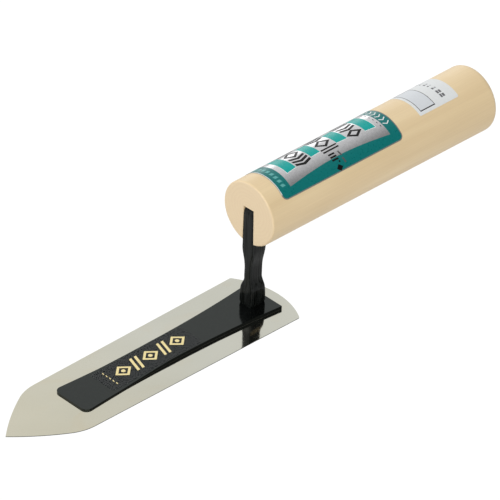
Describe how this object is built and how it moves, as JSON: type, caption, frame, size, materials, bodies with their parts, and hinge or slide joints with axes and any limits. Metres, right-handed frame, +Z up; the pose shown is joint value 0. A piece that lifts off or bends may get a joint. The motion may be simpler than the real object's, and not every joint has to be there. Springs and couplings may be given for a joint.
{
  "type": "pointed plastering trowel",
  "caption": "Pointed flat plastering trowel with a thin polished blade, a black backing plate, a forged neck at the heel and a straight round wooden handle.",
  "frame": {"origin": "on the flat sole of the blade, straight under the centre line of the neck", "axes": "+X from the point of the blade towards the butt of the handle, +Y across the blade to its left when looking along +X, +Z up from the sole to the handle"},
  "size_m": [0.2659, 0.0398, 0.0635],
  "materials": {
    "polished_stainless": "polished",
    "adhesive": "matte",
    "black_enamel": "gloss",
    "clear_film": "gloss",
    "black_forged": "satin",
    "pale_wood": "satin",
    "teal_foil": "gloss",
    "white_paper": "matte"
  },
  "bodies": {
    "root": {"blade": "polished_stainless", "bond_layer": "adhesive", "backing_plate": "black_enamel", "plate_label": "clear_film", "neck": "black_forged", "handle": "pale_wood", "handle_label": "teal_foil", "price_label": "white_paper"}
  },
  "joints": []
}
